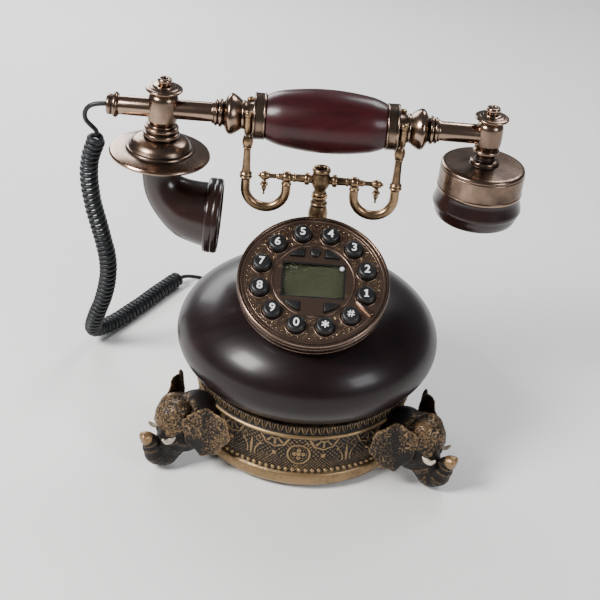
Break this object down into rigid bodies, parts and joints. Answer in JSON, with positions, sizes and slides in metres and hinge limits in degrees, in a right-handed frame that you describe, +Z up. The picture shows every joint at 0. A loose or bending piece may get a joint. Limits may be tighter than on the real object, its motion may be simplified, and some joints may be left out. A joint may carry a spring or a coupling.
{
  "type": "telephone",
  "caption": "Antique-style desk telephone: round wooden body on an elephant plinth, push-button dial, spring cradle and a curly-corded handset with a horn mouthpiece.",
  "frame": {"origin": "centre of the felt pad's underside, on the table and on the plinth's own axis", "axes": "+Z up, -Y towards the user who faces the dial, +X towards the receiver end of the handset"},
  "size_m": [0.301, 0.2755, 0.2463],
  "materials": {
    "plinth_resin": "black-brown cast resin with gold dry-brushed relief",
    "elephant_resin": "black-brown cast resin with gold dry-brushed relief",
    "body_lacquer": "dark mahogany, high gloss",
    "inner_plastic": "moulded",
    "base_plastic": "moulded, fine texture",
    "screw_steel": "zinc plated",
    "felt": "dark green felt",
    "circuit_board": "solder resist",
    "dial_bronze": "antique bronze",
    "faceplate_bronze": "antique bronze with raised gold scrollwork",
    "display_glass": "clear",
    "led_white": "diffusing",
    "lcd_panel": "grey-green display",
    "rubber_mat": "satin",
    "nut_brass": "plain",
    "spring_steel": "plain",
    "cradle_bronze": "antique bronze, polished on edges",
    "grip_wood": "burgundy lacquer",
    "handset_bronze": "dark antique bronze",
    "bakelite": "dark brown, polished",
    "cord_black": "satin black",
    "plug_plastic": "clear-grey moulding",
    "key_black": "satin black"
  },
  "bodies": {
    "base": {"resin_plinth": "plinth_resin", "elephant_heads": "elephant_resin", "body_shell": "body_lacquer", "jack_sockets": "inner_plastic", "bottom_plate": "base_plastic", "bottom_screws": "screw_steel", "felt_pad": "felt", "main_board": "circuit_board", "ringer": "inner_plastic", "dial_housing": "dial_bronze", "dial_faceplate": "faceplate_bronze", "display_lens": "display_glass", "call_led": "led_white", "lcd_module": "lcd_panel", "keypad_mat": "rubber_mat", "keypad_board": "circuit_board", "finger_stop": "dial_bronze", "stem_post": "cradle_bronze", "stem_nut": "nut_brass", "hook_switch": "inner_plastic", "hook_spring": "spring_steel", "cord_lead_handset": "cord_black", "cord_coil": "cord_black", "cord_lead_base": "cord_black", "cord_plug": "plug_plastic"},
    "cradle": {"cradle_hub": "cradle_bronze", "cradle_hook_right": "cradle_bronze", "cradle_hook_left": "cradle_bronze", "drop_finials": "cradle_bronze"},
    "handset": {"grip": "grip_wood", "grip_collars": "handset_bronze", "neck_ferrules": "handset_bronze", "core_tube": "handset_bronze", "tube_end_cap": "handset_bronze", "head_hubs": "handset_bronze", "finial_discs": "handset_bronze", "finial_bolts": "handset_bronze", "transmitter_cap": "handset_bronze", "microphone": "inner_plastic", "mouthpiece_horn": "bakelite", "receiver_can": "handset_bronze", "receiver_cap": "bakelite", "receiver_speaker": "inner_plastic"},
    "key_1": {"key_1": "key_black"},
    "key_2": {"key_2": "key_black"},
    "key_3": {"key_3": "key_black"},
    "key_4": {"key_4": "key_black"},
    "key_5": {"key_5": "key_black"},
    "key_6": {"key_6": "key_black"},
    "key_7": {"key_7": "key_black"},
    "key_8": {"key_8": "key_black"},
    "key_9": {"key_9": "key_black"},
    "key_0": {"key_0": "key_black"},
    "key_star": {"key_star": "key_black"},
    "key_hash": {"key_hash": "key_black"},
    "panel_key_top_left": {"panel_key_top_left": "key_black"},
    "panel_key_top_middle": {"panel_key_top_middle": "key_black"},
    "panel_key_top_right": {"panel_key_top_right": "key_black"},
    "panel_key_bottom_left": {"panel_key_bottom_left": "key_black"},
    "panel_key_bottom_right": {"panel_key_bottom_right": "key_black"}
  },
  "joints": [
    {"name": "handset_lift", "type": "slide", "parent": "base", "child": "handset", "axis": [0, 0, 1], "range_m": [0, 0.08]},
    {"name": "cradle_rise", "type": "slide", "parent": "base", "child": "cradle", "axis": [0, 0, 1], "range_m": [0, 0.0045], "deforming": ["hook_spring"]},
    {"name": "key_1_press", "type": "slide", "parent": "base", "child": "key_1", "axis": [0, 0.4664, -0.8846], "range_m": [0, 0.0015], "stiffness_N_per_m": 400},
    {"name": "key_2_press", "type": "slide", "parent": "base", "child": "key_2", "axis": [0, 0.4664, -0.8846], "range_m": [0, 0.0015], "stiffness_N_per_m": 400},
    {"name": "key_3_press", "type": "slide", "parent": "base", "child": "key_3", "axis": [0, 0.4664, -0.8846], "range_m": [0, 0.0015], "stiffness_N_per_m": 400},
    {"name": "key_4_press", "type": "slide", "parent": "base", "child": "key_4", "axis": [0, 0.4664, -0.8846], "range_m": [0, 0.0015], "stiffness_N_per_m": 400},
    {"name": "key_5_press", "type": "slide", "parent": "base", "child": "key_5", "axis": [0, 0.4664, -0.8846], "range_m": [0, 0.0015], "stiffness_N_per_m": 400},
    {"name": "key_6_press", "type": "slide", "parent": "base", "child": "key_6", "axis": [0, 0.4664, -0.8846], "range_m": [0, 0.0015], "stiffness_N_per_m": 400},
    {"name": "key_7_press", "type": "slide", "parent": "base", "child": "key_7", "axis": [0, 0.4664, -0.8846], "range_m": [0, 0.0015], "stiffness_N_per_m": 400},
    {"name": "key_8_press", "type": "slide", "parent": "base", "child": "key_8", "axis": [0, 0.4664, -0.8846], "range_m": [0, 0.0015], "stiffness_N_per_m": 400},
    {"name": "key_9_press", "type": "slide", "parent": "base", "child": "key_9", "axis": [0, 0.4664, -0.8846], "range_m": [0, 0.0015], "stiffness_N_per_m": 400},
    {"name": "key_0_press", "type": "slide", "parent": "base", "child": "key_0", "axis": [0, 0.4664, -0.8846], "range_m": [0, 0.0015], "stiffness_N_per_m": 400},
    {"name": "key_star_press", "type": "slide", "parent": "base", "child": "key_star", "axis": [0, 0.4664, -0.8846], "range_m": [0, 0.0015], "stiffness_N_per_m": 400},
    {"name": "key_hash_press", "type": "slide", "parent": "base", "child": "key_hash", "axis": [0, 0.4664, -0.8846], "range_m": [0, 0.0015], "stiffness_N_per_m": 400},
    {"name": "panel_key_top_left_press", "type": "slide", "parent": "base", "child": "panel_key_top_left", "axis": [0, 0.4664, -0.8846], "range_m": [0, 0.0008], "stiffness_N_per_m": 400},
    {"name": "panel_key_top_middle_press", "type": "slide", "parent": "base", "child": "panel_key_top_middle", "axis": [0, 0.4664, -0.8846], "range_m": [0, 0.0008], "stiffness_N_per_m": 400},
    {"name": "panel_key_top_right_press", "type": "slide", "parent": "base", "child": "panel_key_top_right", "axis": [0, 0.4664, -0.8846], "range_m": [0, 0.0008], "stiffness_N_per_m": 400},
    {"name": "panel_key_bottom_left_press", "type": "slide", "parent": "base", "child": "panel_key_bottom_left", "axis": [0, 0.4664, -0.8846], "range_m": [0, 0.0008], "stiffness_N_per_m": 400},
    {"name": "panel_key_bottom_right_press", "type": "slide", "parent": "base", "child": "panel_key_bottom_right", "axis": [0, 0.4664, -0.8846], "range_m": [0, 0.0008], "stiffness_N_per_m": 400}
  ],
  "couplings": [
    {"joint": "cradle_rise", "follows": "handset_lift", "ratio": 0.05625}
  ]
}
